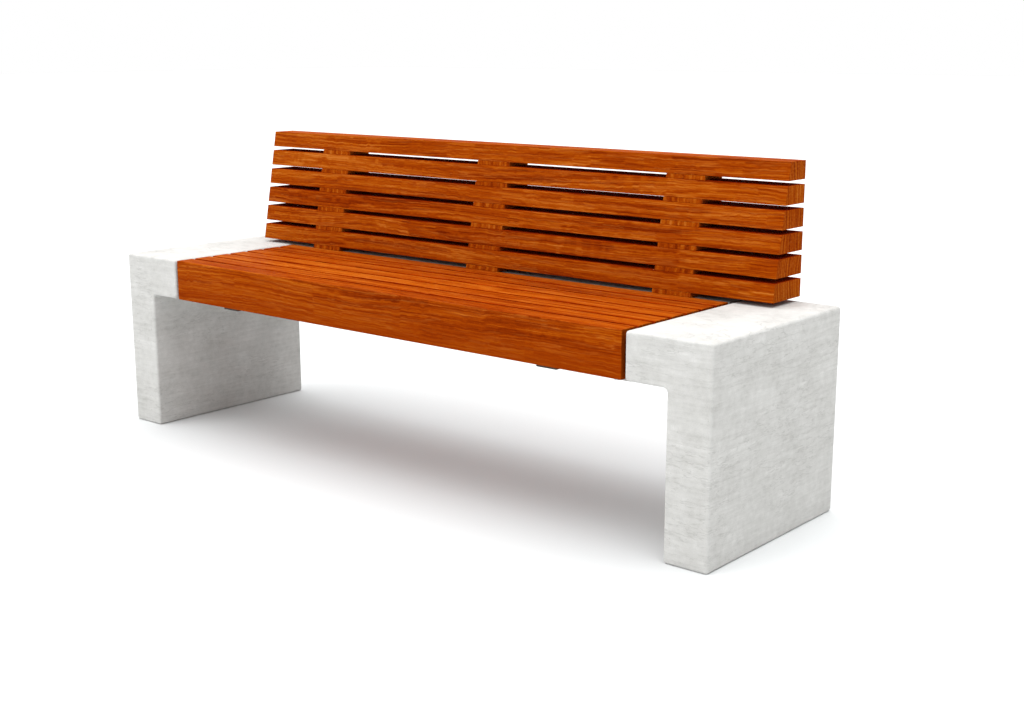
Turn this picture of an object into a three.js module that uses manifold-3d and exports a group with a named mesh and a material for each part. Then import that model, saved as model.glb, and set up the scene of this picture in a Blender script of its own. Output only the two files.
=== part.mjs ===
// Garden bench: two cast concrete ends, a seat of hardwood beams laid between them,
// and a leaning backrest of stacked hardwood slats with spacers between the slats.
// Millimetres. +X runs along the bench, +Y from the front to the back, +Z up.
// The origin is on the ground under the middle of the bench.

import * as THREE from 'three';
import { mergeVertices } from 'three/addons/utils/BufferGeometryUtils.js';
import Module from 'manifold-3d';

const wasm = await Module();
wasm.setup();

// ---------------------------------------------------------------- driving dimensions

const BENCH_LENGTH = 1800;
const BENCH_DEPTH = 500;
const SEAT_HEIGHT = 450;

// Concrete ends: an upright leg with a short arm reaching in at seat height.
const LEG_WIDTH = 102;
const ARM_REACH = 200;
const ARM_THICKNESS = 100;
const CORNER_RADIUS = 7;
const FACE_EDGE_RADIUS = 6;
const INNER_CORNER_RADIUS = 10;

// Seat: beams on edge, with a small gap at each concrete arm.
const BEAM_COUNT = 7;
const BEAM_WIDTH = 48;
const BEAM_DEPTH = 100;
const BEAM_GAP = 9;
const END_GAP = 8;

// Backrest: slats one above the other, leaning front face, upright rear face.
const SLAT_COUNT = 6;
const SLAT_HEIGHT = 40;
const SLAT_LENGTH = 1604;
const SPACER_HEIGHT = 10;
const SPACER_WIDTH = 100;
const BACK_FOOT_DEPTH = 118;
const BACK_LEAN_DEGREES = 10.3;
const COLUMNS = { left: -550, centre: 0, right: 550 };

// Rear tube: square hollow section that carries the backrest.
const TUBE_SIZE = 100;
const TUBE_WALL = 5;
const TUBE_CORNER_RADIUS = 10;
const TUBE_SETBACK = 2;
const ACCESS_HOLE_RADIUS = 20;

// Flat steel straps and end angles under the seat.
const STEEL_THICKNESS = 6;
const STRAP_WIDTH = 52;
const STRAP_X = 498;
const STRAP_SETBACK = 11;
const ANGLE_LEG = 66;
const ANGLE_HEIGHT = 86;
const ANGLE_SETBACK = 24;
const SCREW_HOLE_RADIUS = 4.5;
const SCREW_LINE_OFFSET = 10;

// Threaded rods that clamp each column of slats and spacers to the rear tube.
const ROD_RADIUS = 6;
const ROD_Y = 215;
const ROD_TAIL = 25;
const ROD_BITE = 23;
const NUT_RADIUS = 10.4;
const NUT_HEIGHT = 10;
const NUT_SIDES = 6;
const WASHER_RADIUS = 15;
const WASHER_HEIGHT = 2.5;
const INSERT_RADIUS = 9;
const INSERT_HEIGHT = 25;

// Countersunk screws that hold the end angles, and the sockets cast into the concrete.
const SCREW_RADIUS = 6;
const SCREW_HEAD_RADIUS = 11;
const SCREW_LENGTH = 50;
const SOCKET_RADIUS = 10;
const SOCKET_LENGTH = 60;
const ANGLE_SCREW_Z = 400;
const ANGLE_SCREW_Y = { front: -150, rear: 170 };

// Clearances.
const FIT_GAP = 0.3;
const ROD_CLEARANCE = 0.5;

// How far a cutter, or a bar joined to another, runs past the face it crosses.
const OVERRUN = 1;

const ROUND_SIDES = 20;
const ARC_SEGMENTS = 5;

// ---------------------------------------------------------------- sizes that follow

const HALF_LENGTH = BENCH_LENGTH / 2;
const FRONT_Y = -BENCH_DEPTH / 2;
const REAR_Y = BENCH_DEPTH / 2;
const ARM_FACE_X = HALF_LENGTH - ARM_REACH;
const ARM_UNDERSIDE = SEAT_HEIGHT - ARM_THICKNESS;
const BEAM_LENGTH = 2 * (ARM_FACE_X - END_GAP);
const SEAT_UNDERSIDE = SEAT_HEIGHT - BEAM_DEPTH;
const BEAM_PITCH = BEAM_WIDTH + BEAM_GAP;
const SEAT_REAR_Y = FRONT_Y + BEAM_COUNT * BEAM_PITCH - BEAM_GAP;
const TUBE_FRONT_Y = SEAT_REAR_Y + TUBE_SETBACK;
const TUBE_Y = TUBE_FRONT_Y + TUBE_SIZE / 2;
const TUBE_CEILING = SEAT_HEIGHT - TUBE_WALL;
const SLAT_PITCH = SLAT_HEIGHT + SPACER_HEIGHT;
const TOP_SLAT_UNDERSIDE = SEAT_HEIGHT + SLAT_COUNT * SLAT_PITCH - SLAT_HEIGHT;
const BACK_FOOT_Y = REAR_Y - BACK_FOOT_DEPTH;
const BACK_LEAN = Math.tan(THREE.MathUtils.degToRad(BACK_LEAN_DEGREES));

// ---------------------------------------------------------------- materials

function material(color, roughness, metalness) {
  return new THREE.MeshStandardMaterial({ color, roughness, metalness });
}

const concrete = material(0xc9c9c5, 0.85, 0);
const beamWood = material(0xb4560f, 0.5, 0);
const slatWood = material(0xa84e0c, 0.5, 0);
const spacerWood = material(0x9c480c, 0.55, 0);
const galvanised = material(0x8b8f92, 0.45, 1);
const darkSteel = material(0x4a4644, 0.5, 1);
const zincSteel = material(0xb9bcbe, 0.35, 1);

// ---------------------------------------------------------------- solid helpers

function toSolid(geometry) {
  const bare = geometry.clone();
  bare.deleteAttribute('normal');
  bare.deleteAttribute('uv');
  const merged = mergeVertices(bare);
  return new wasm.Manifold(new wasm.Mesh({
    numProp: 3,
    vertProperties: Float32Array.from(merged.attributes.position.array),
    triVerts: Uint32Array.from(merged.index.array),
  }));
}

function toGeometry(solid) {
  const { vertProperties, triVerts } = solid.getMesh();
  const geometry = new THREE.BufferGeometry();
  geometry.setAttribute('position', new THREE.BufferAttribute(vertProperties, 3));
  geometry.setIndex(new THREE.BufferAttribute(triVerts, 1));
  geometry.computeVertexNormals();
  return geometry;
}

// Takes every cutter away from a body, all given as geometries.
function cut(body, cutters) {
  const solid = cutters.reduce((left, cutter) => left.subtract(toSolid(cutter)), toSolid(body));
  return toGeometry(solid);
}

// An upright round bar centred on (x, y), from one height to another.
function uprightBar(radius, x, y, bottom, top, sides = ROUND_SIDES) {
  const bar = new THREE.CylinderGeometry(radius, radius, top - bottom, sides);
  return bar.rotateX(Math.PI / 2).translate(x, y, (bottom + top) / 2);
}

// A round bar along X centred on (y, z), from one x to another.
function lyingBar(radius, fromX, toX, y, z) {
  const bar = new THREE.CylinderGeometry(radius, radius, Math.abs(toX - fromX), ROUND_SIDES);
  return bar.rotateZ(Math.PI / 2).translate((fromX + toX) / 2, y, z);
}

// A square-cornered bar between two places along each axis.
function block(x0, x1, y0, y1, z0, z1) {
  const box = new THREE.BoxGeometry(Math.abs(x1 - x0), y1 - y0, z1 - z0);
  return box.translate((x0 + x1) / 2, (y0 + y1) / 2, (z0 + z1) / 2);
}

// A bar along X whose section is drawn in Y and Z.
function drawnAlongX(section, centreX, length) {
  const bar = new THREE.ExtrudeGeometry(section, {
    depth: length,
    curveSegments: ARC_SEGMENTS,
    bevelEnabled: false,
  });
  const axes = new THREE.Matrix4().makeBasis(
    new THREE.Vector3(0, 1, 0), new THREE.Vector3(0, 0, 1), new THREE.Vector3(1, 0, 0),
  );
  return bar.applyMatrix4(axes).translate(centreX - length / 2, 0, 0);
}

// An anticlockwise outline of right-angled corners, each [x, y, radius].
function roundedOutline(corners) {
  const outline = new THREE.Shape();
  corners.forEach(([x, y, radius], index) => {
    const [lastX, lastY] = corners.at(index - 1);
    const [nextX, nextY] = corners[(index + 1) % corners.length];
    const back = new THREE.Vector2(lastX - x, lastY - y).setLength(radius);
    const ahead = new THREE.Vector2(nextX - x, nextY - y).setLength(radius);
    const centre = new THREE.Vector2(x, y).add(back).add(ahead);
    const startAngle = Math.atan2(-ahead.y, -ahead.x);
    const endAngle = Math.atan2(-back.y, -back.x);
    const turnsRight = back.cross(ahead) > 0;
    outline.absarc(centre.x, centre.y, radius, startAngle, endAngle, turnsRight);
  });
  return outline;
}

function piece(name, geometry, finish) {
  const mesh = new THREE.Mesh(geometry, finish);
  mesh.name = name;
  return mesh;
}

// ---------------------------------------------------------------- concrete ends

const SIDES = { left: -1, right: 1 };

// The leg is on the outside and the arm reaches in towards the middle of the bench.
function concreteBody(sign) {
  const legInnerX = HALF_LENGTH - LEG_WIDTH;
  const outline = roundedOutline([
    [legInnerX, 0, CORNER_RADIUS],
    [HALF_LENGTH, 0, CORNER_RADIUS],
    [HALF_LENGTH, SEAT_HEIGHT, CORNER_RADIUS],
    [ARM_FACE_X, SEAT_HEIGHT, CORNER_RADIUS],
    [ARM_FACE_X, ARM_UNDERSIDE, CORNER_RADIUS],
    [legInnerX, ARM_UNDERSIDE, INNER_CORNER_RADIUS],
  ]);
  const body = new THREE.ExtrudeGeometry(outline, {
    depth: BENCH_DEPTH - 2 * FACE_EDGE_RADIUS,
    curveSegments: ARC_SEGMENTS,
    bevelThickness: FACE_EDGE_RADIUS,
    bevelSize: FACE_EDGE_RADIUS,
    bevelOffset: -FACE_EDGE_RADIUS,
    bevelSegments: ARC_SEGMENTS,
  });
  body.rotateX(Math.PI / 2).translate(0, REAR_Y - FACE_EDGE_RADIUS, 0);
  // Front and rear are alike, so half a turn makes the left end out of the right one.
  return sign > 0 ? body : body.rotateZ(Math.PI);
}

function concreteEnd(side) {
  const sign = SIDES[side];
  const mouth = sign * (ARM_FACE_X - OVERRUN);
  const bottom = sign * (ARM_FACE_X + SOCKET_LENGTH + FIT_GAP);
  const pockets = Object.values(ANGLE_SCREW_Y).map(
    (y) => lyingBar(SOCKET_RADIUS + FIT_GAP, mouth, bottom, y, ANGLE_SCREW_Z),
  );
  return piece(`concrete_end_${side}`, cut(concreteBody(sign), pockets), concrete);
}

// Threaded sleeve cast into the concrete, open towards the seat.
function socket(side, place) {
  const sign = SIDES[side];
  const y = ANGLE_SCREW_Y[place];
  const mouth = sign * ARM_FACE_X;
  const sleeve = lyingBar(SOCKET_RADIUS, mouth, mouth + sign * SOCKET_LENGTH, y, ANGLE_SCREW_Z);
  const boreStart = mouth - sign * OVERRUN;
  const boreEnd = mouth + sign * SCREW_LENGTH;
  const bore = lyingBar(SCREW_RADIUS + FIT_GAP, boreStart, boreEnd, y, ANGLE_SCREW_Z);
  return piece(`socket_${side}_${place}`, cut(sleeve, [bore]), zincSteel);
}

// ---------------------------------------------------------------- end angles

const ANGLE_BACK_X = ARM_FACE_X - FIT_GAP;
const ANGLE_WALL_X = ANGLE_BACK_X - STEEL_THICKNESS;
const ANGLE_FRONT_Y = FRONT_Y + ANGLE_SETBACK;
const ANGLE_REAR_Y = TUBE_FRONT_Y + TUBE_SIZE;
const SHELF_UNDERSIDE = SEAT_UNDERSIDE - STEEL_THICKNESS;
const SHELF_SCREW_X = ANGLE_WALL_X - ANGLE_LEG / 2;

// The cone of a countersunk head, its wide end flush with the wall's inner face.
function screwHead(sign, y, clearance) {
  const height = SCREW_HEAD_RADIUS - SCREW_RADIUS;
  const cone = new THREE.CylinderGeometry(
    SCREW_HEAD_RADIUS + clearance, SCREW_RADIUS + clearance, height, ROUND_SIDES,
  );
  const centreX = sign * (ANGLE_WALL_X + height / 2);
  return cone.rotateZ(sign * Math.PI / 2).translate(centreX, y, ANGLE_SCREW_Z);
}

function angleScrew(side, place) {
  const sign = SIDES[side];
  const y = ANGLE_SCREW_Y[place];
  const shankStart = sign * (ANGLE_WALL_X + OVERRUN);
  const shankEnd = sign * (ANGLE_WALL_X + SCREW_LENGTH);
  const shank = lyingBar(SCREW_RADIUS, shankStart, shankEnd, y, ANGLE_SCREW_Z);
  const whole = toSolid(screwHead(sign, y, 0)).add(toSolid(shank));
  return piece(`angle_screw_${side}_${place}`, toGeometry(whole), zincSteel);
}

// Holes for the upward screws, one under each beam and one under the rear tube, a little
// behind its centre line so that the front hole keeps clear of the steel's front edge.
function upwardScrewHoles(x) {
  const centreLines = Array.from({ length: BEAM_COUNT }, (_, index) => beamY(index));
  const bottom = SHELF_UNDERSIDE - OVERRUN;
  const top = SEAT_UNDERSIDE + OVERRUN;
  return [...centreLines, TUBE_Y].map(
    (y) => uprightBar(SCREW_HOLE_RADIUS, x, y + SCREW_LINE_OFFSET, bottom, top),
  );
}

function endAngle(side) {
  const sign = SIDES[side];
  const backX = sign * ANGLE_BACK_X;
  const shelfX = sign * (ANGLE_BACK_X - ANGLE_LEG);
  const shelf = block(shelfX, backX, ANGLE_FRONT_Y, ANGLE_REAR_Y, SHELF_UNDERSIDE, SEAT_UNDERSIDE);
  const wall = block(
    sign * ANGLE_WALL_X, backX, ANGLE_FRONT_Y, ANGLE_REAR_Y,
    SHELF_UNDERSIDE, SHELF_UNDERSIDE + ANGLE_HEIGHT,
  );
  const whole = toGeometry(toSolid(shelf).add(toSolid(wall)));
  const throughX = backX + sign * OVERRUN;
  const screwSeats = Object.values(ANGLE_SCREW_Y).flatMap((y) => [
    screwHead(sign, y, FIT_GAP),
    lyingBar(SCREW_RADIUS + FIT_GAP, sign * ANGLE_WALL_X, throughX, y, ANGLE_SCREW_Z),
  ]);
  const screwHoles = upwardScrewHoles(sign * SHELF_SCREW_X);
  return piece(`end_angle_${side}`, cut(whole, [...screwSeats, ...screwHoles]), galvanised);
}

function benchEnd(side) {
  const end = new THREE.Group();
  end.add(concreteEnd(side), endAngle(side));
  Object.keys(ANGLE_SCREW_Y).forEach((place) => {
    end.add(socket(side, place), angleScrew(side, place));
  });
  return end;
}

// ---------------------------------------------------------------- seat

function beamY(index) {
  return FRONT_Y + index * BEAM_PITCH + BEAM_WIDTH / 2;
}

function seatBeam(index) {
  const beam = new THREE.BoxGeometry(BEAM_LENGTH, BEAM_WIDTH, BEAM_DEPTH);
  const mesh = piece(`seat_beam_${index + 1}`, beam, beamWood);
  mesh.position.set(0, beamY(index), SEAT_HEIGHT - BEAM_DEPTH / 2);
  return mesh;
}

// Flat bar that ties the beams and the rear tube together from below.
function seatStrap(side) {
  const x = SIDES[side] * STRAP_X;
  const bar = block(
    x - STRAP_WIDTH / 2, x + STRAP_WIDTH / 2, FRONT_Y + STRAP_SETBACK, ANGLE_REAR_Y,
    SHELF_UNDERSIDE, SEAT_UNDERSIDE,
  );
  return piece(`seat_strap_${side}`, cut(bar, upwardScrewHoles(x)), darkSteel);
}

// Square hollow section behind the seat, with a rod hole in its top wall and an access
// hole in its bottom wall at each column of the backrest.
function rearTube() {
  const tubeOutline = (inset) => {
    const radius = TUBE_CORNER_RADIUS - inset;
    const front = TUBE_FRONT_Y + inset;
    const rear = TUBE_FRONT_Y + TUBE_SIZE - inset;
    const bottom = SEAT_UNDERSIDE + inset;
    const top = SEAT_HEIGHT - inset;
    return roundedOutline([
      [front, bottom, radius], [rear, bottom, radius], [rear, top, radius], [front, top, radius],
    ]);
  };
  const section = tubeOutline(0);
  section.holes.push(tubeOutline(TUBE_WALL));
  const floorTop = SEAT_UNDERSIDE + TUBE_WALL + OVERRUN;
  const holes = Object.values(COLUMNS).flatMap((x) => [
    uprightBar(ROD_RADIUS + ROD_CLEARANCE, x, ROD_Y, TUBE_CEILING - OVERRUN, SEAT_HEIGHT + OVERRUN),
    uprightBar(ACCESS_HOLE_RADIUS, x, TUBE_Y, SEAT_UNDERSIDE - OVERRUN, floorTop),
  ]);
  return piece('rear_tube', cut(drawnAlongX(section, 0, BEAM_LENGTH), holes), galvanised);
}

function seat() {
  const group = new THREE.Group();
  for (let index = 0; index < BEAM_COUNT; index += 1) {
    group.add(seatBeam(index));
  }
  group.add(rearTube(), seatStrap('left'), seatStrap('right'));
  return group;
}

// ---------------------------------------------------------------- backrest

// A bar along X between two heights, upright behind and leaning back in front.
function leaningBar(centreX, length, bottom, top) {
  const frontAt = (z) => BACK_FOOT_Y + (z - SEAT_HEIGHT) * BACK_LEAN;
  const section = new THREE.Shape([
    new THREE.Vector2(frontAt(bottom), bottom),
    new THREE.Vector2(REAR_Y, bottom),
    new THREE.Vector2(REAR_Y, top),
    new THREE.Vector2(frontAt(top), top),
  ]);
  return drawnAlongX(section, centreX, length);
}

function backSlat(index) {
  const bottom = SEAT_HEIGHT + SPACER_HEIGHT + index * SLAT_PITCH;
  const top = bottom + SLAT_HEIGHT;
  const isTop = index === SLAT_COUNT - 1;
  const holeRadius = isTop ? INSERT_RADIUS + FIT_GAP : ROD_RADIUS + ROD_CLEARANCE;
  const holeTop = isTop ? bottom + INSERT_HEIGHT + FIT_GAP : top + OVERRUN;
  const holes = Object.values(COLUMNS).map(
    (x) => uprightBar(holeRadius, x, ROD_Y, bottom - OVERRUN, holeTop),
  );
  const slat = cut(leaningBar(0, SLAT_LENGTH, bottom, top), holes);
  return piece(`back_slat_${index + 1}`, slat, slatWood);
}

function spacer(column, index) {
  const x = COLUMNS[column];
  const bottom = SEAT_HEIGHT + index * SLAT_PITCH;
  const top = bottom + SPACER_HEIGHT;
  const radius = ROD_RADIUS + ROD_CLEARANCE;
  const hole = uprightBar(radius, x, ROD_Y, bottom - OVERRUN, top + OVERRUN);
  const body = cut(leaningBar(x, SPACER_WIDTH, bottom, top), [hole]);
  return piece(`spacer_${column}_${index + 1}`, body, spacerWood);
}

// A round or six-sided ring around the rod of one column.
function rodRing(x, radius, bottom, top, sides) {
  const bore = uprightBar(ROD_RADIUS + FIT_GAP, x, ROD_Y, bottom - OVERRUN, top + OVERRUN);
  return cut(uprightBar(radius, x, ROD_Y, bottom, top, sides), [bore]);
}

// The rod screws into the insert in the top slat and is drawn down by the nut in the tube.
function rodSet(column) {
  const x = COLUMNS[column];
  const washerBottom = TUBE_CEILING - WASHER_HEIGHT;
  const nutBottom = washerBottom - NUT_HEIGHT;
  const rodTop = TOP_SLAT_UNDERSIDE + ROD_BITE;
  const rod = uprightBar(ROD_RADIUS, x, ROD_Y, TUBE_CEILING - ROD_TAIL, rodTop);
  const washer = rodRing(x, WASHER_RADIUS, washerBottom, TUBE_CEILING, ROUND_SIDES);
  const nut = rodRing(x, NUT_RADIUS, nutBottom, washerBottom, NUT_SIDES);
  const insert = rodRing(
    x, INSERT_RADIUS, TOP_SLAT_UNDERSIDE, TOP_SLAT_UNDERSIDE + INSERT_HEIGHT, ROUND_SIDES,
  );
  return [
    piece(`back_rod_${column}`, rod, zincSteel),
    piece(`back_rod_washer_${column}`, washer, zincSteel),
    piece(`back_rod_nut_${column}`, nut, zincSteel),
    piece(`back_rod_insert_${column}`, insert, zincSteel),
  ];
}

function backrest() {
  const group = new THREE.Group();
  for (let index = 0; index < SLAT_COUNT; index += 1) {
    group.add(backSlat(index));
    Object.keys(COLUMNS).forEach((column) => group.add(spacer(column, index)));
  }
  Object.keys(COLUMNS).forEach((column) => group.add(...rodSet(column)));
  return group;
}

// ---------------------------------------------------------------- the whole bench

const bench = new THREE.Group();
bench.add(benchEnd('left'), benchEnd('right'), seat(), backrest());

export default bench;
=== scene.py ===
"""Garden bench: hardwood seat beams and backrest slats on two cast concrete ends.

Metres, in the CAD frame: +X runs along the bench, +Y from the front to the back, +Z up.
"""

import math
import random

import bmesh
import bpy
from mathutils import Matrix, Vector, noise


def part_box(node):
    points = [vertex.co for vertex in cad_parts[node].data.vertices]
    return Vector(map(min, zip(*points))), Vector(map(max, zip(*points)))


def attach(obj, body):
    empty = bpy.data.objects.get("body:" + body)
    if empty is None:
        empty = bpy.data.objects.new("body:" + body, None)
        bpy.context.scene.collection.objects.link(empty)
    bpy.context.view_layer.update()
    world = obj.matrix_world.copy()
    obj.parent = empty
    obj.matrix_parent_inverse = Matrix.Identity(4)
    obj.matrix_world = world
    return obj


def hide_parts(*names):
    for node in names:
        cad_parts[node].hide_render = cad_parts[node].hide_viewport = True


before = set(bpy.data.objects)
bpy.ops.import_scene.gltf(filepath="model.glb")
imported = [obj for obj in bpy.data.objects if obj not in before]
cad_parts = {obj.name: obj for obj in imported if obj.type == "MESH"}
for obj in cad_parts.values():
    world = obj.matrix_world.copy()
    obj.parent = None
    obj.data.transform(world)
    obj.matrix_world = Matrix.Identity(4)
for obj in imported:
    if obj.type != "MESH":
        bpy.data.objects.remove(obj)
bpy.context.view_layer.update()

SIDES = ("left", "right")
COLUMNS = ("left", "centre", "right")
BEAM_COUNT = 7
SLAT_COUNT = 6
ROOT = "root"

# ---------------------------------------------------------------- camera, light, floor

CAMERA_PLACE = (2.236, -2.428, 0.987)
CAMERA_TURN = math.radians(39.87)
CAMERA_DIP = math.radians(12.65)
CAMERA_LENS = 49.6
CAMERA_SENSOR = 36.0
CAMERA_REACH = 160.0

AMBIENT = 0.50
OVERHEAD_STRENGTH = 4.20
OVERHEAD_SPREAD = math.radians(91)
FRONT_STRENGTH = 0.72
FRONT_SPREAD = math.radians(40)
FRONT_HEIGHT = math.radians(22)
FRONT_SWING = math.radians(30)

FLOOR_REACH = 40.0
FLOOR_SHADE = (0.698, 0.712, 0.716, 1.0)


def add_camera():
    data = bpy.data.cameras.new("camera")
    data.lens = CAMERA_LENS
    data.sensor_width = CAMERA_SENSOR
    data.clip_end = CAMERA_REACH
    camera = bpy.data.objects.new("camera", data)
    camera.location = CAMERA_PLACE
    camera.rotation_euler = (math.pi / 2 - CAMERA_DIP, 0.0, CAMERA_TURN)
    bpy.context.scene.collection.objects.link(camera)
    bpy.context.scene.camera = camera


def add_sun(name, strength, spread, tilt, swing):
    """A soft distant light, tilted from overhead and then swung about the upright axis."""
    data = bpy.data.lights.new(name, "SUN")
    data.energy = strength
    data.angle = spread
    sun = bpy.data.objects.new(name, data)
    sun.rotation_euler = (tilt, 0.0, swing)
    bpy.context.scene.collection.objects.link(sun)


def add_world():
    """A white backdrop that lights the bench less brightly than it looks."""
    world = bpy.data.worlds.new("studio")
    world.use_nodes = True
    nodes, links = world.node_tree.nodes, world.node_tree.links
    background = nodes["Background"]
    background.inputs["Color"].default_value = (1.0, 1.0, 1.0, 1.0)
    seen = nodes.new("ShaderNodeLightPath").outputs["Is Camera Ray"]
    level = nodes.new("ShaderNodeMapRange")
    level.inputs["To Min"].default_value = AMBIENT
    level.inputs["To Max"].default_value = 1.0
    links.new(seen, level.inputs["Value"])
    links.new(level.outputs["Result"], background.inputs["Strength"])
    bpy.context.scene.world = world


def add_floor():
    """A wide matt floor that the camera sees as white around the shadow."""
    mesh = bpy.data.meshes.new("floor")
    signs = [(-1, -1), (1, -1), (1, 1), (-1, 1)]
    corners = [(FLOOR_REACH * x, FLOOR_REACH * y, 0.0) for x, y in signs]
    mesh.from_pydata(corners, [], [(0, 1, 2, 3)])
    floor = bpy.data.objects.new("floor", mesh)
    bpy.context.scene.collection.objects.link(floor)
    paint = bpy.data.materials.new("floor_paint")
    paint.use_nodes = True
    shader = paint.node_tree.nodes["Principled BSDF"]
    shader.inputs["Base Color"].default_value = FLOOR_SHADE
    shader.inputs["Roughness"].default_value = 1.0
    shader.inputs["Specular IOR Level"].default_value = 0.0
    mesh.materials.append(paint)


# ---------------------------------------------------------------- node helpers


class Surface:
    """A Principled material whose texture nodes are added one call at a time."""

    def __init__(self, name, specular=0.5, metallic=0.0, tint=(1.0, 1.0, 1.0), ior=1.5):
        self.material = bpy.data.materials.new(name)
        self.material.use_nodes = True
        self.tree = self.material.node_tree
        self.shader = self.tree.nodes["Principled BSDF"]
        self.shader.inputs["IOR"].default_value = ior
        self.shader.inputs["Specular IOR Level"].default_value = specular
        self.shader.inputs["Specular Tint"].default_value = (*tint, 1.0)
        self.shader.inputs["Metallic"].default_value = metallic

    def feed(self, socket, value):
        """Links another node's output to a socket, or sets the socket to a plain value."""
        if isinstance(value, bpy.types.NodeSocket):
            self.tree.links.new(value, socket)
        else:
            socket.default_value = value

    def node(self, kind, inputs, **settings):
        node = self.tree.nodes.new(kind)
        for key, value in settings.items():
            setattr(node, key, value)
        for key, value in inputs.items():
            self.feed(node.inputs[key], value)
        return node

    def attribute(self, name, output="Fac"):
        return self.node("ShaderNodeAttribute", {}, attribute_name=name).outputs[output]

    def place(self):
        """Position in the object's own coordinates."""
        return self.node("ShaderNodeTexCoord", {}).outputs["Object"]

    def math(self, operation, a, b=0.0, c=0.0, clamp=False):
        inputs = {0: a, 1: b, 2: c}
        settings = {"operation": operation, "use_clamp": clamp}
        return self.node("ShaderNodeMath", inputs, **settings).outputs[0]

    def vector(self, operation, a, b):
        node = self.node("ShaderNodeVectorMath", {0: a, 1: b}, operation=operation)
        return node.outputs["Vector"]

    def length(self, a):
        node = self.node("ShaderNodeVectorMath", {0: a}, operation="LENGTH")
        return node.outputs["Value"]

    def noise(self, place, stretch, detail=2.0, roughness=0.5, output=0):
        """Soft noise with the given waves per metre. Output 0 is a value and 1 is a colour."""
        scaled = self.vector("MULTIPLY", place, stretch)
        inputs = {"Vector": scaled, "Scale": 1.0, "Detail": detail, "Roughness": roughness}
        return self.node("ShaderNodeTexNoise", inputs).outputs[output]

    def line_noise(self, position, scale, detail, roughness):
        """Soft noise along one distance."""
        inputs = {"W": position, "Scale": scale, "Detail": detail, "Roughness": roughness}
        return self.node("ShaderNodeTexNoise", inputs, noise_dimensions="1D").outputs[0]

    def spread(self, value, low, high, to_low=0.0, to_high=1.0):
        """Stretches the values between low and high over a new range, cut off at its ends."""
        inputs = {
            "Value": value, "From Min": low, "From Max": high, "To Min": to_low, "To Max": to_high,
        }
        return self.node("ShaderNodeMapRange", inputs).outputs["Result"]

    def around(self, value, reach):
        """Stretches the values within reach of one half over the range from 0 to 1."""
        return self.spread(value, 0.5 - reach, 0.5 + reach)

    def lines(self, value, width):
        """1 where a noise crosses one half, falling to 0 at the given distance from it."""
        distance = self.math("ABSOLUTE", self.math("SUBTRACT", value, 0.5))
        return self.spread(distance, 0.0, width, 1.0, 0.0)

    def cells(self, place, stretch):
        """The distance to the nearest cell's middle, and a value from 0 to 1 for each cell."""
        scaled = self.vector("MULTIPLY", place, stretch)
        cells = self.node("ShaderNodeTexVoronoi", {"Vector": scaled, "Scale": 1.0})
        value = self.node("ShaderNodeSeparateColor", {0: cells.outputs["Color"]}).outputs[0]
        return cells.outputs["Distance"], value

    def ramp(self, value, stops):
        node = self.node("ShaderNodeValToRGB", {"Fac": value})
        elements = node.color_ramp.elements
        while len(elements) < len(stops):
            elements.new(0.5)
        for element, (position, color) in zip(elements, stops):
            element.position = position
            element.color = (*color, 1.0)
        return node.outputs["Color"]

    def mix(self, factor, a, b):
        """A value between two values."""
        return self.node("ShaderNodeMix", {0: factor, 2: a, 3: b}, data_type="FLOAT").outputs[0]

    def blend(self, factor, a, b, blend_type="MIX"):
        """A colour between two colours."""
        inputs = {0: factor, 6: a, 7: b}
        settings = {"data_type": "RGBA", "blend_type": blend_type, "clamp_factor": True}
        return self.node("ShaderNodeMix", inputs, **settings).outputs[2]

    def paint(self, amount, color, over, strength=1.0):
        """Lays a plain colour over another by an amount times a strength."""
        return self.blend(self.math("MULTIPLY", amount, strength), over, (*color, 1.0))

    def weighted(self, terms):
        """The sum of values, each times its weight."""
        total = None
        for value, weight in terms:
            term = self.math("MULTIPLY", value, weight)
            total = term if total is None else self.math("ADD", total, term)
        return total

    def finish(self, color, roughness, height, bump_strength, bump_depth):
        inputs = {"Height": height, "Strength": bump_strength, "Distance": bump_depth}
        bump = self.node("ShaderNodeBump", inputs)
        self.feed(self.shader.inputs["Base Color"], color)
        self.feed(self.shader.inputs["Roughness"], roughness)
        self.feed(self.shader.inputs["Normal"], bump.outputs["Normal"])
        return self.material


# ---------------------------------------------------------------- materials

# How far the colour moves towards the worn one along the softened edges of wood and concrete.
EDGE_WEAR = 0.15

WOOD_DARK = (0.140, 0.012, 0.0004)
WOOD_RED = (0.235, 0.028, 0.0006)
WOOD_ORANGE = (0.320, 0.048, 0.0010)
WOOD_GOLD = (0.400, 0.084, 0.0030)
WOOD_PALE = (0.540, 0.170, 0.0250)
WOOD_PORE = (0.080, 0.007, 0.0004)
WOOD_SHEEN = (1.0, 0.30, 0.05)
WOOD_IOR = 1.035
# Painted shade: the colour that wood faces looking into a narrow gap are multiplied by.
WOOD_GAP_SHADE = (0.80, 0.35, 0.15)
WOOD_RAMP = [
    (0.20, WOOD_DARK), (0.38, WOOD_RED), (0.52, WOOD_ORANGE), (0.66, WOOD_GOLD), (0.88, WOOD_PALE),
]

# Waves per metre of each layer of the grain: along the fibres, then in the two directions across.
WANDER_WAVES = (1.3, 4.0, 4.0)
RIPPLE_WAVES = (9.0, 14.0, 14.0)
SHIVER_WAVES = (48.0, 7.0, 7.0)
BAND_WAVES = (1.4, 75.0, 75.0)
STREAK_WAVES = (2.6, 240.0, 240.0)
FLAME_WAVES = (9.0, 110.0, 135.0)
FIBRE_WAVES = (14.0, 650.0, 650.0)
PATCH_WAVES = (1.6, 9.0, 9.0)
PORE_WAVES = (35.0, 1500.0, 1500.0)
VEIN_WAVES = (2.0, 72.0, 72.0)

# How far the fibres stray sideways from a straight line.
WANDER_REACH = 0.060
RIPPLE_REACH = 0.0075
SHIVER_REACH = 0.0042

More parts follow.
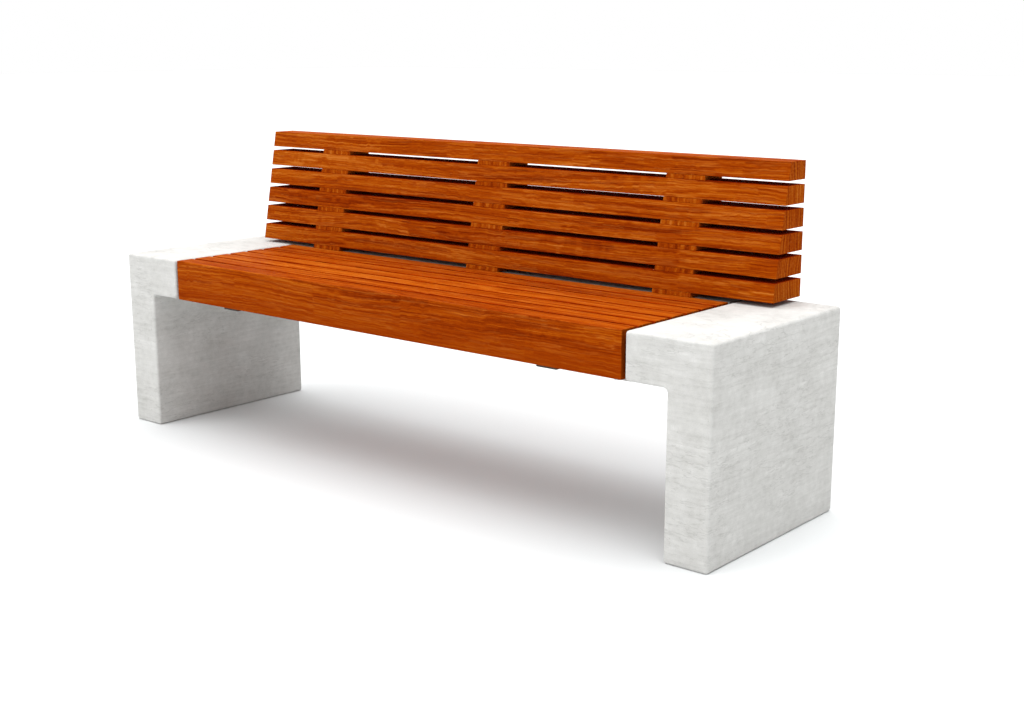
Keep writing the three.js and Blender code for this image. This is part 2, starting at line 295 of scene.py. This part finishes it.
VEIN_WIDTH = 0.030
VEIN_STRENGTH = 0.50
FLAME_STRENGTH = 0.13
PORE_STRENGTH = 0.45
TONE_STEP = 0.04
END_GRAIN_BASE = 0.15
WOOD_ROUGHNESS = 0.50
WOOD_BUMP_STRENGTH = 0.35
WOOD_BUMP_DEPTH = 0.0006

# Painted shade: the timber is painted a little darker towards the underside of the seat.
UNSHADED_ABOVE = 0.440
FULL_SHADE_BELOW = 0.350
LOW_SHADE_STRENGTH = 0.65


def stray(wood, grain, waves, detail, reach):
    """A shift across the fibres, up to about half the given reach either way."""
    shift = wood.vector("SUBTRACT", wood.noise(grain, waves, detail, output=1), (0.5, 0.5, 0.5))
    return wood.vector("MULTIPLY", shift, (0.0, reach, reach))


def hardwood(name, end_shade, ring_scale, gold):
    """Oiled tropical hardwood. Growth rings lie round the fibre axis of the grain attribute.

    end_shade darkens the end grain, ring_scale is the rings' waves per metre, and gold moves
    the whole piece towards the pale end of its colours.
    """
    wood = Surface(name, tint=WOOD_SHEEN, ior=WOOD_IOR)
    grain = wood.attribute("grain", "Vector")
    tone = wood.attribute("tone")
    end_grain = wood.attribute("end_grain")
    painted_gap_shade = wood.attribute("painted_gap_shade")
    edge = wood.attribute("edge")

    wander = stray(wood, grain, WANDER_WAVES, 1.0, WANDER_REACH)
    ripple = stray(wood, grain, RIPPLE_WAVES, 2.5, RIPPLE_REACH)
    shiver = stray(wood, grain, SHIVER_WAVES, 1.0, SHIVER_REACH)
    flow = wood.vector("ADD", wood.vector("ADD", grain, wander), wood.vector("ADD", ripple, shiver))
    radius = wood.length(wood.vector("MULTIPLY", flow, (0.0, 1.0, 1.0)))

    rings = wood.around(wood.line_noise(radius, ring_scale, detail=2.5, roughness=0.6), 0.16)
    bands = wood.around(wood.noise(flow, BAND_WAVES, detail=1.5), 0.20)
    streaks = wood.around(wood.noise(flow, STREAK_WAVES, detail=3.0, roughness=0.6), 0.20)
    flames = wood.spread(wood.noise(flow, FLAME_WAVES, detail=1.0), 0.56, 0.70)
    fibres = wood.around(wood.noise(grain, FIBRE_WAVES, detail=2.0), 0.20)
    patches = wood.around(wood.noise(grain, PATCH_WAVES, detail=1.0), 0.20)
    pores = wood.spread(wood.noise(grain, PORE_WAVES, detail=1.0), 0.62, 0.74)
    veins = wood.math("MULTIPLY", wood.lines(wood.noise(flow, VEIN_WAVES), VEIN_WIDTH), fibres)
    veins = wood.math("MULTIPLY", veins, wood.spread(end_grain, 0.0, 1.0, 1.0, 0.0))

    along = wood.weighted([
        (rings, 0.14), (bands, 0.16), (streaks, 0.40), (fibres, 0.17), (patches, 0.13),
    ])
    across = wood.weighted([
        (rings, 0.32), (streaks, 0.16), (fibres, 0.10), (patches, 0.12),
    ])
    across = wood.math("ADD", across, END_GRAIN_BASE)
    shift = wood.math("MULTIPLY_ADD", tone, TONE_STEP, gold)
    level = wood.math("ADD", wood.mix(end_grain, along, across), shift)
    color = wood.ramp(level, WOOD_RAMP)
    color = wood.paint(flames, WOOD_PALE, color, FLAME_STRENGTH)
    color = wood.paint(pores, WOOD_PORE, color, PORE_STRENGTH)
    color = wood.paint(veins, WOOD_PALE, color, VEIN_STRENGTH)
    worn = wood.math("MULTIPLY", edge, wood.spread(streaks, 0.2, 0.8))
    color = wood.paint(worn, WOOD_PALE, color, EDGE_WEAR)

    end_color = wood.blend(1.0, color, (end_shade, end_shade, end_shade, 1.0), "MULTIPLY")
    color = wood.blend(end_grain, color, end_color)
    # Painted shade, darker towards the underside of the seat.
    upward = wood.node("ShaderNodeSeparateXYZ", {0: wood.place()}).outputs["Z"]
    low_shade = wood.spread(upward, UNSHADED_ABOVE, FULL_SHADE_BELOW)
    color = wood.paint(low_shade, WOOD_RED, color, LOW_SHADE_STRENGTH)
    # Painted shade: faces that look into a narrow gap are multiplied towards a dark colour.
    gap_shade_color = wood.blend(1.0, color, (*WOOD_GAP_SHADE, 1.0), "MULTIPLY")
    color = wood.blend(painted_gap_shade, color, gap_shade_color)

    roughness = wood.weighted([
        (level, -0.12), (pores, 0.15), (end_grain, 0.2), (edge, -0.05), (painted_gap_shade, 0.4),
    ])
    roughness = wood.math("ADD", roughness, WOOD_ROUGHNESS, clamp=True)
    height = wood.weighted([(rings, 0.35), (streaks, 0.25), (fibres, 0.4), (pores, -0.6)])
    return wood.finish(
        color, roughness, height, bump_strength=WOOD_BUMP_STRENGTH, bump_depth=WOOD_BUMP_DEPTH,
    )


CONCRETE_RAMP = [
    (0.36, (0.430, 0.4245, 0.404)), (0.47, (0.527, 0.5215, 0.502)),
    (0.54, (0.573, 0.5675, 0.548)), (0.66, (0.675, 0.669, 0.651)),
]
CONCRETE_CREASE = (0.33, 0.325, 0.31)
CONCRETE_HOLE = (0.30, 0.295, 0.28)
CONCRETE_WORN = (0.72, 0.715, 0.705)
CREASE_WIDTH = 0.016
CREASE_STRENGTH = 0.50
HOLE_STRENGTH = 0.45
HOLES_ABOVE = 0.80
CONCRETE_ROUGHNESS = 0.68

# Waves per metre in X, Y and Z.
CLOUD_WAVES = (10.0, 10.0, 10.0)
MOTTLE_WAVES = (60.0, 60.0, 75.0)
LEVEL_STREAK_WAVES = (9.0, 9.0, 120.0)
GRIT_WAVES = (420.0, 420.0, 420.0)
CREASE_WAVES = (9.0, 9.0, 58.0)
WORKED_WAVES = (5.0, 5.0, 9.0)
PIT_WAVES = (75.0, 75.0, 75.0)


def cast_concrete(name):
    """Pale cast concrete: cloudy mottling, faint level streaks and wrinkles, small air holes."""
    cast = Surface(name, specular=0.25)
    place = cast.place()
    edge = cast.attribute("edge")

    clouds = cast.noise(place, CLOUD_WAVES, detail=4.0, roughness=0.65)
    mottles = cast.noise(place, MOTTLE_WAVES, detail=3.0, roughness=0.6)
    streaks = cast.noise(place, LEVEL_STREAK_WAVES, detail=4.0, roughness=0.65)
    grit = cast.noise(place, GRIT_WAVES)
    creases = cast.noise(place, CREASE_WAVES, detail=3.5, roughness=0.6)
    worked = cast.spread(cast.noise(place, WORKED_WAVES, detail=3.0), 0.42, 0.56)
    creases = cast.math("MULTIPLY", cast.lines(creases, CREASE_WIDTH), worked)
    distance, chance = cast.cells(place, PIT_WAVES)
    holes = cast.spread(distance, 0.05, 0.13, 1.0, 0.0)
    holes = cast.math("MULTIPLY", holes, cast.math("GREATER_THAN", chance, HOLES_ABOVE))

    shade = cast.weighted([(clouds, 0.32), (mottles, 0.22), (streaks, 0.28), (grit, 0.18)])
    color = cast.ramp(shade, CONCRETE_RAMP)
    color = cast.paint(creases, CONCRETE_CREASE, color, CREASE_STRENGTH)
    color = cast.paint(holes, CONCRETE_HOLE, color, HOLE_STRENGTH)
    worn = cast.math("MULTIPLY", edge, cast.spread(clouds, 0.3, 0.7))
    color = cast.paint(worn, CONCRETE_WORN, color, EDGE_WEAR)

    roughness = cast.math("MULTIPLY_ADD", grit, 0.25, CONCRETE_ROUGHNESS)
    height = cast.weighted([
        (mottles, 0.2), (streaks, 0.3), (grit, 0.3), (creases, -0.5), (holes, -1.0),
    ])
    return cast.finish(color, roughness, height, bump_strength=0.35, bump_depth=0.0012)


ZINC_RAMP = [
    (0.2, (0.24, 0.236, 0.226)), (0.5, (0.35, 0.345, 0.333)), (0.8, (0.48, 0.475, 0.463)),
]
ZINC_ROUGHNESS = 0.36


def galvanised_steel(name):
    """Hot-dip galvanised steel: crystal spangle of several greys under a dull bloom."""
    zinc = Surface(name, specular=0.3, metallic=0.45)
    place = zinc.place()
    _, crystal = zinc.cells(place, (70.0, 70.0, 70.0))
    bloom = zinc.noise(place, (6.0, 6.0, 6.0), detail=4.0)
    drips = zinc.noise(place, (30.0, 30.0, 4.0), detail=3.0)
    shade = zinc.weighted([(crystal, 0.30), (bloom, 0.45), (drips, 0.25)])
    color = zinc.ramp(shade, ZINC_RAMP)
    roughness = zinc.math("ADD", zinc.weighted([(crystal, 0.12), (bloom, 0.35)]), ZINC_ROUGHNESS)
    height = zinc.weighted([(crystal, 0.3), (bloom, 0.7)])
    return zinc.finish(color, roughness, height, bump_strength=0.15, bump_depth=0.0005)


DARK_STEEL_RAMP = [
    (0.30, (0.020, 0.013, 0.009)), (0.50, (0.038, 0.027, 0.020)), (0.72, (0.072, 0.050, 0.036)),
]
DARK_STEEL_ROUGHNESS = 0.32


def weathered_steel(name):
    """Dark mill-finished steel with a little brown bloom."""
    steel = Surface(name, specular=0.3, metallic=0.4)
    place = steel.place()
    scale = steel.noise(place, (45.0, 45.0, 45.0), detail=4.0, roughness=0.6)
    bloom = steel.noise(place, (9.0, 9.0, 9.0), detail=3.0)
    grit = steel.noise(place, (600.0, 600.0, 600.0), detail=1.0)
    shade = steel.weighted([(scale, 0.55), (bloom, 0.30), (grit, 0.15)])
    color = steel.ramp(shade, DARK_STEEL_RAMP)
    roughness = steel.math("MULTIPLY_ADD", scale, 0.4, DARK_STEEL_ROUGHNESS)
    height = steel.weighted([(scale, 0.6), (grit, 0.4)])
    return steel.finish(color, roughness, height, bump_strength=0.25, bump_depth=0.0004)


ZINC_PLATE_RAMP = [
    (0.3, (0.42, 0.43, 0.45)), (0.5, (0.55, 0.56, 0.57)), (0.7, (0.66, 0.66, 0.64)),
]
ZINC_PLATE_ROUGHNESS = 0.18


def zinc_plate(name):
    """Bright zinc plate on screws, nuts and rods, slightly clouded."""
    plate = Surface(name, metallic=1.0)
    place = plate.place()
    clouds = plate.noise(place, (160.0, 160.0, 160.0), detail=3.0)
    grit = plate.noise(place, (1500.0, 1500.0, 1500.0), detail=1.0)
    color = plate.ramp(clouds, ZINC_PLATE_RAMP)
    roughness = plate.math("MULTIPLY_ADD", clouds, 0.3, ZINC_PLATE_ROUGHNESS)
    return plate.finish(color, roughness, grit, bump_strength=0.1, bump_depth=0.0002)


MATERIALS = {
    "beam_wood": hardwood("beam_wood", end_shade=0.62, ring_scale=185.0, gold=0.0),
    "slat_wood": hardwood("slat_wood", end_shade=0.92, ring_scale=185.0, gold=0.016),
    "spacer_wood": hardwood("spacer_wood", end_shade=0.95, ring_scale=70.0, gold=0.03),
    "concrete": cast_concrete("concrete"),
    "galvanised_steel": galvanised_steel("galvanised_steel"),
    "dark_steel": weathered_steel("dark_steel"),
    "zinc_fasteners": zinc_plate("zinc_fasteners"),
}

# ---------------------------------------------------------------- outlines and sweeps

# Faces with more corners than this are caps and other flats, and are shaded flat.
SMOOTH_CORNERS = 4
FLAT_FACE_WEIGHT = 80


class RimPoint:
    """A point of a rounded outline that can be drawn at any inset from its full size.

    bend is 1 on the outline's outer corners and sides and -1 in an inner corner. edge is 1 in
    the middle of a rounded outer corner and 0 where the outline is straight.
    """

    def __init__(self, centre, direction, radius, bend, edge):
        self.centre = centre
        self.direction = direction
        self.radius = radius
        self.bend = bend
        self.edge = edge

    def at(self, inset):
        return self.centre + self.direction * (self.radius - self.bend * inset)


def outward(start, end):
    """Outward normal of one edge of an anticlockwise outline."""
    run = (end - start).normalized()
    return Vector((run.y, -run.x))


def rounded_outline(corners, steps, spacing=None, clearance=0.0):
    """Rim points of an anticlockwise polygon. Each corner is (x, y, radius).

    With a spacing, the straight sides get points too, further than the clearance from both ends.
    """
    points = [Vector((x, y)) for x, y, _ in corners]
    count = len(corners)
    rim = []
    for index, (_, _, radius) in enumerate(corners):
        here = points[index]
        before = outward(points[index - 1], here)
        after = outward(here, points[(index + 1) % count])
        turn = math.atan2(before.x * after.y - before.y * after.x, before.dot(after))
        bend = 1 if turn > 0 else -1
        centre = here - (before + after) * (bend * radius / (1 + before.dot(after)))
        start = math.atan2(before.y, before.x)
        for step in range(steps + 1):
            angle = start + turn * step / steps
            direction = Vector((math.cos(angle), math.sin(angle))) * bend
            edge = math.sin(math.pi * step / steps) if bend > 0 else 0.0
            rim.append(RimPoint(centre, direction, radius, bend, edge))
        if spacing:
            rim += straight_run(here, points[(index + 1) % count], after, spacing, clearance)
    return rim


def straight_run(start, end, normal, spacing, clearance):
    """Rim points along a straight side, clear of its rounded ends."""
    length = (end - start).length
    count = int(length / spacing)
    return [
        RimPoint(start.lerp(end, step / count), normal, 0.0, 1, 0.0)
        for step in range(1, count)
        if min(step, count - step) * length / count > clearance
    ]


def stations(low, high, end_radius, steps, spacing):
    """(place, inset, edge) along a sweep: rounded off at both ends, evenly spaced between."""
    first = []
    for step in range(steps + 1):
        angle = math.pi / 2 * step / steps
        along = end_radius * (1 - math.cos(angle))
        first.append((along, end_radius * (1 - math.sin(angle)), math.sin(2 * angle)))
    last = [(high - along, inset, edge) for along, inset, edge in reversed(first)]
    first = [(low + along, inset, edge) for along, inset, edge in first]
    span = high - low - 2 * end_radius
    count = max(1, round(span / spacing))
    middle = [(low + end_radius + span * step / count, 0.0, 0.0) for step in range(1, count)]
    return first + middle + last


def face_outward(mesh):
    """Turns every face of a closed mesh to the outside."""
    tidy = bmesh.new()
    tidy.from_mesh(mesh)
    bmesh.ops.recalc_face_normals(tidy, faces=tidy.faces)
    tidy.to_mesh(mesh)
    tidy.free()


def sweep(name, rim, rows, axis, uneven):
    """A closed mesh made of the outline at every row along the X or the Y axis.

    uneven gives the extra inset of a rim point at a place along the sweep.
    """
    vertices = []
    edges = []
    for along, inset, row_edge in rows:
        for point in rim:
            a, b = point.at(inset + uneven(along, point))
            vertices.append((along, a, b) if axis == "x" else (a, along, b))
            edges.append(max(point.edge, row_edge))
    around = len(rim)
    faces = []
    for row in range(len(rows) - 1):
        for column in range(around):
            beside = (column + 1) % around
            low, high = row * around, (row + 1) * around
            faces.append((low + column, low + beside, high + beside, high + column))
    faces.append(tuple(range(around)))
    faces.append(tuple(range((len(rows) - 1) * around, len(rows) * around)))
    mesh = bpy.data.meshes.new(name)
    mesh.from_pydata(vertices, [], faces)
    face_outward(mesh)
    attribute = mesh.attributes.new("edge", "FLOAT", "POINT")
    attribute.data.foreach_set("value", edges)
    return mesh


def show(name, mesh, slot, nodes, weighted=True):
    """Puts a finished mesh in the scene as a piece that stands for CAD nodes."""
    mesh.shade_smooth()
    for face in mesh.polygons:
        face.use_smooth = len(face.vertices) <= SMOOTH_CORNERS
    mesh.materials.append(MATERIALS[slot])
    piece = bpy.data.objects.new(name, mesh)
    bpy.context.scene.collection.objects.link(piece)
    if weighted:
        modifier = piece.modifiers.new("flat_faces", "WEIGHTED_NORMAL")
        modifier.keep_sharp = False
        modifier.weight = FLAT_FACE_WEIGHT
    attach(piece, ROOT)
    if nodes:
        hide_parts(*nodes)
    return piece


# ---------------------------------------------------------------- timber

EDGE_RADIUS = 0.0025
SLAT_EDGE_RADIUS = 0.0011
SPACER_EDGE_RADIUS = 0.0008
END_RADIUS = 0.0018
SLAT_END_RADIUS = 0.0008
SPACER_END_RADIUS = 0.0005
ARC_STEPS = 5
TIMBER_SPACING = 0.02
UNEVEN = 0.00010
SWELL_WAVES = 5.0
SWELL_ROUND = 2.0
TIMBER_SEED = 21
PITH_NEAR = 0.15
PITH_FAR = 0.40
BEAM_TILTS = (8, 28)
SLAT_TILTS = (1, 8)
SHUFFLE = 30.0
SAME_LEVEL = 0.0005

# How much of a face's normal lies along a direction that the face is said to look in.
STEEP = 0.5
END_FACING = 0.6

# The fibre direction comes first, then the two directions across it.
ALONG_X = (0, 1, 2)
ALONG_Y = (1, 0, 2)


def add_grain(mesh, order, dice, tilts, in_gap):
    """Stores where each point lies in the log, the piece's tone, its end faces, and the faces that
    look into a gap, which get painted shade.
    """
    middle = sum((Vector(corner.co) for corner in mesh.vertices), Vector()) / len(mesh.vertices)
    distance = dice.uniform(PITH_NEAR, PITH_FAR) * dice.choice((-1, 1))
    tilt = math.radians(dice.uniform(*tilts)) * dice.choice((-1, 1))
    along = dice.uniform(0, SHUFFLE)
    start = Vector((along, distance * math.cos(tilt), distance * math.sin(tilt)))
    values = []
    for corner in mesh.vertices:
        offset = corner.co - middle
        values += [start[place] + offset[source] for place, source in enumerate(order)]
    mesh.attributes.new("grain", "FLOAT_VECTOR", "POINT").data.foreach_set("vector", values)
    tones = [dice.uniform(-1, 1)] * len(mesh.vertices)
    mesh.attributes.new("tone", "FLOAT", "POINT").data.foreach_set("value", tones)
    fibre = order[0]
    # Faces that look into a narrow gap are marked for painted shade.
    gap_shade_faces = [1.0 if in_gap(face.normal) else 0.0 for face in mesh.polygons]
    mesh.attributes.new("painted_gap_shade", "FLOAT", "FACE").data.foreach_set("value", gap_shade_faces)
    ends = [1.0 if abs(face.normal[fibre]) > END_FACING else 0.0 for face in mesh.polygons]
    mesh.attributes.new("end_grain", "FLOAT", "FACE").data.foreach_set("value", ends)


def timber(node, slot, radius, end_radius, order, tilts, dice, in_gap):
    """A planed timber along X that fills its CAD node's section, with softened edges.

    in_gap says of a face's normal whether that face looks into a narrow gap.
    """
    name = f"{node}_timber"
    low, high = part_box(node)
    rim = rounded_outline([(y, z, radius) for y, z in section_of(node, low, high)], ARC_STEPS)
    seed = dice.uniform(0, SHUFFLE)

    def uneven(along, point):
        around = point.direction.x * SWELL_ROUND + point.direction.y
        swell = noise.noise(Vector((along * SWELL_WAVES, seed, around)))
        return UNEVEN * (1 + swell)

    rows = stations(low.x, high.x, end_radius, ARC_STEPS, TIMBER_SPACING)
    mesh = sweep(name, rim, rows, "x", uneven)
    add_grain(mesh, order, dice, tilts, in_gap)
    show(name, mesh, slot, [node])


def section_of(node, low, high):
    """The four corners of a node's section in Y and Z, from its lower front one anticlockwise."""
    corners = [corner.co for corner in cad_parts[node].data.vertices]
    foot = min(corner.y for corner in corners if abs(corner.z - low.z) < SAME_LEVEL)
    head = min(corner.y for corner in corners if abs(corner.z - high.z) < SAME_LEVEL)
    return [(foot, low.z), (high.y, low.z), (high.y, high.z), (head, high.z)]


def beside_beams(normal):
    return abs(normal.y) > STEEP


def behind_front_beam(normal):
    return normal.y > STEEP


def between_slats(normal):
    return abs(normal.z) > STEEP


def below_top_slat(normal):
    return normal.z < -STEEP


def nowhere(normal):
    """For pieces that have no face in a narrow gap."""
    return False


def add_timbers():
    dice = random.Random(TIMBER_SEED)
    for number in range(1, BEAM_COUNT + 1):
        node = f"seat_beam_{number}"
        in_gap = behind_front_beam if number == 1 else beside_beams
        timber(
            node, "beam_wood", EDGE_RADIUS, END_RADIUS, ALONG_X, BEAM_TILTS, dice, in_gap,
        )
    for number in range(1, SLAT_COUNT + 1):
        node = f"back_slat_{number}"
        in_gap = below_top_slat if number == SLAT_COUNT else between_slats
        timber(
            node, "slat_wood",
            SLAT_EDGE_RADIUS, SLAT_END_RADIUS, ALONG_X, SLAT_TILTS, dice, in_gap,
        )
        for column in COLUMNS:
            timber(
                f"spacer_{column}_{number}", "spacer_wood",
                SPACER_EDGE_RADIUS, SPACER_END_RADIUS, ALONG_Y, SLAT_TILTS, dice, nowhere,
            )


# ---------------------------------------------------------------- concrete

CONCRETE_CORNER = 0.007
CONCRETE_FACE_EDGE = 0.006
CONCRETE_INNER_CORNER = 0.010
CONCRETE_ARC_STEPS = 7
CONCRETE_SPACING = 0.012
CONCRETE_CLEARANCE = 0.014
CHIP_DEPTH = 0.0007
CHIP_WAVES = 60.0
FINE_CHIP_WAVES = 3.1
FINE_CHIP_SHARE = 0.5


def concrete_end(side):
    """The leg and the arm of one end, cast in one, with rounded and slightly chipped edges."""
    node = f"concrete_end_{side}"
    sign = 1 if side == "right" else -1
    low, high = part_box(node)
    outer, inner = (high.x, low.x) if sign > 0 else (low.x, high.x)
    corners = [corner.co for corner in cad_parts[node].data.vertices]
    leg_zone = (low.z + high.z) / 2
    leg_inner = min((corner.x for corner in corners if corner.z < leg_zone), key=abs)
    arm_reach = abs(leg_inner - inner)
    arm_under = min(corner.z for corner in corners if abs(corner.x - inner) < arm_reach / 2)
    outline = [
        (leg_inner, low.z, CONCRETE_CORNER), (outer, low.z, CONCRETE_CORNER),
        (outer, high.z, CONCRETE_CORNER), (inner, high.z, CONCRETE_CORNER),
        (inner, arm_under, CONCRETE_CORNER), (leg_inner, arm_under, CONCRETE_INNER_CORNER),
    ]
    rim = rounded_outline(
        outline if sign > 0 else outline[::-1],
        CONCRETE_ARC_STEPS, CONCRETE_SPACING, CONCRETE_CLEARANCE,
    )

    def chipped(along, point):
        place = Vector((along, *point.centre)) * CHIP_WAVES
        wear = noise.noise(place) + FINE_CHIP_SHARE * noise.noise(place * FINE_CHIP_WAVES)
        return CHIP_DEPTH * max(0.0, wear) * point.edge

    rows = stations(low.y, high.y, CONCRETE_FACE_EDGE, CONCRETE_ARC_STEPS, CONCRETE_SPACING)
    mesh = sweep(f"{node}_cast", rim, rows, "y", chipped)
    show(f"{node}_cast", mesh, "concrete", [node])


# ---------------------------------------------------------------- steel

STEEL_BEVEL = 0.0008
STEEL_BEVEL_ANGLE = math.radians(40)
STEEL_BEVEL_STEPS = 2
FLAT_ANGLE = math.radians(1)
MERGE_DISTANCE = 0.00002


def bevelled_copy(node, slot):
    """A copy of a CAD node with its sharp edges broken, standing for that node."""
    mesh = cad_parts[node].data.copy()
    mesh.name = f"{node}_steel"
    mesh.materials.clear()
    tidy = bmesh.new()
    tidy.from_mesh(mesh)
    bmesh.ops.remove_doubles(tidy, verts=tidy.verts, dist=MERGE_DISTANCE)
    bmesh.ops.dissolve_limit(tidy, angle_limit=FLAT_ANGLE, verts=tidy.verts, edges=tidy.edges)
    tidy.to_mesh(mesh)
    tidy.free()
    piece = show(mesh.name, mesh, slot, [node], weighted=False)
    bevel = piece.modifiers.new("broken_edges", "BEVEL")
    bevel.width = STEEL_BEVEL
    bevel.segments = STEEL_BEVEL_STEPS
    bevel.limit_method = "ANGLE"
    bevel.angle_limit = STEEL_BEVEL_ANGLE
    normals = piece.modifiers.new("flat_faces", "WEIGHTED_NORMAL")
    normals.keep_sharp = False


def add_steel():
    bevelled_copy("rear_tube", "galvanised_steel")
    for side in SIDES:
        bevelled_copy(f"end_angle_{side}", "galvanised_steel")
        bevelled_copy(f"seat_strap_{side}", "dark_steel")


def finish_hidden_steel():
    """The rods, nuts, washers, inserts, sockets and their screws keep their CAD shapes."""
    nodes = [
        f"back_rod{part}_{column}"
        for part in ("", "_washer", "_nut", "_insert") for column in COLUMNS
    ]
    nodes += [
        f"{part}_{side}_{place}"
        for part in ("angle_screw", "socket") for side in SIDES for place in ("front", "rear")
    ]
    for node in nodes:
        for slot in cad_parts[node].material_slots:
            slot.material = MATERIALS["zinc_fasteners"]


# ---------------------------------------------------------------- screws under the seat

SCREW_LINE_OFFSET = 0.010
SCREW_FROM_ANGLE_EDGE = 0.027
HEAD_RADIUS = 0.0085
HEAD_RIM = 0.0008
HEAD_HEIGHT = 0.0034
HEAD_SIDES = 36
DOME_STEPS = 6
DRIVE_RADIUS = 0.0032
DRIVE_DEPTH = 0.0018
DRIVE_LOBES = 6
LOBE_SIZE = 0.16
SCREW_SEED = 5


def head_profile(top):
    """(radius, z, lobe size) of every ring of a domed head, from the steel down to the drive."""
    crown = top - HEAD_RIM
    dome = HEAD_HEIGHT - HEAD_RIM
    profile = [(HEAD_RADIUS, top, 0.0)]
    for step in range(DOME_STEPS + 1):
        angle = math.pi / 2 * step / DOME_STEPS
        radius = DRIVE_RADIUS + (HEAD_RADIUS - DRIVE_RADIUS) * math.cos(angle)
        profile.append((radius, crown - dome * math.sin(angle), LOBE_SIZE * step / DOME_STEPS))
    profile.append((DRIVE_RADIUS, top - HEAD_HEIGHT + DRIVE_DEPTH, LOBE_SIZE))
    return profile


def screw_line(name, x, places, top, dice):
    """One domed screw head under each place along a steel bar, with a lobed drive."""
    points, faces = [], []
    for y in places:
        turn = dice.uniform(0, math.pi)
        rings = []
        for radius, z, lobe in head_profile(top):
            rings.append(range(len(points), len(points) + HEAD_SIDES))
            for step in range(HEAD_SIDES):
                angle = 2 * math.pi * step / HEAD_SIDES
                reach = radius * (1 + lobe * math.cos(DRIVE_LOBES * angle))
                across, deep = math.cos(angle + turn), math.sin(angle + turn)
                points.append((x + reach * across, y + reach * deep, z))
        for upper, lower in zip(rings, rings[1:]):
            for step in range(HEAD_SIDES):
                beside = (step + 1) % HEAD_SIDES
                faces.append((upper[step], upper[beside], lower[beside], lower[step]))
        faces += [tuple(rings[0]), tuple(rings[-1])]
    mesh = bpy.data.meshes.new(name)
    mesh.from_pydata(points, [], faces)
    face_outward(mesh)
    show(name, mesh, "zinc_fasteners", [])


def add_screws():
    dice = random.Random(SCREW_SEED)
    supports = [f"seat_beam_{number}" for number in range(1, BEAM_COUNT + 1)]
    supports.append("rear_tube")
    boxes = [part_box(node) for node in supports]
    places = [(low.y + high.y) / 2 + SCREW_LINE_OFFSET for low, high in boxes]
    for side in SIDES:
        low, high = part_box(f"seat_strap_{side}")
        screw_line(f"strap_screws_{side}", (low.x + high.x) / 2, places, low.z, dice)
        low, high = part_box(f"end_angle_{side}")
        right = side == "right"
        line = low.x + SCREW_FROM_ANGLE_EDGE if right else high.x - SCREW_FROM_ANGLE_EDGE
        screw_line(f"shelf_screws_{side}", line, places, low.z, dice)


# ---------------------------------------------------------------- the whole scene

add_camera()
add_world()
add_sun("overhead", OVERHEAD_STRENGTH, OVERHEAD_SPREAD, 0.0, 0.0)
add_sun("front", FRONT_STRENGTH, FRONT_SPREAD, math.pi / 2 - FRONT_HEIGHT, -FRONT_SWING)
add_floor()

add_timbers()
for side in SIDES:
    concrete_end(side)
add_steel()
finish_hidden_steel()
add_screws()

bpy.context.scene.view_settings.view_transform = "Standard"
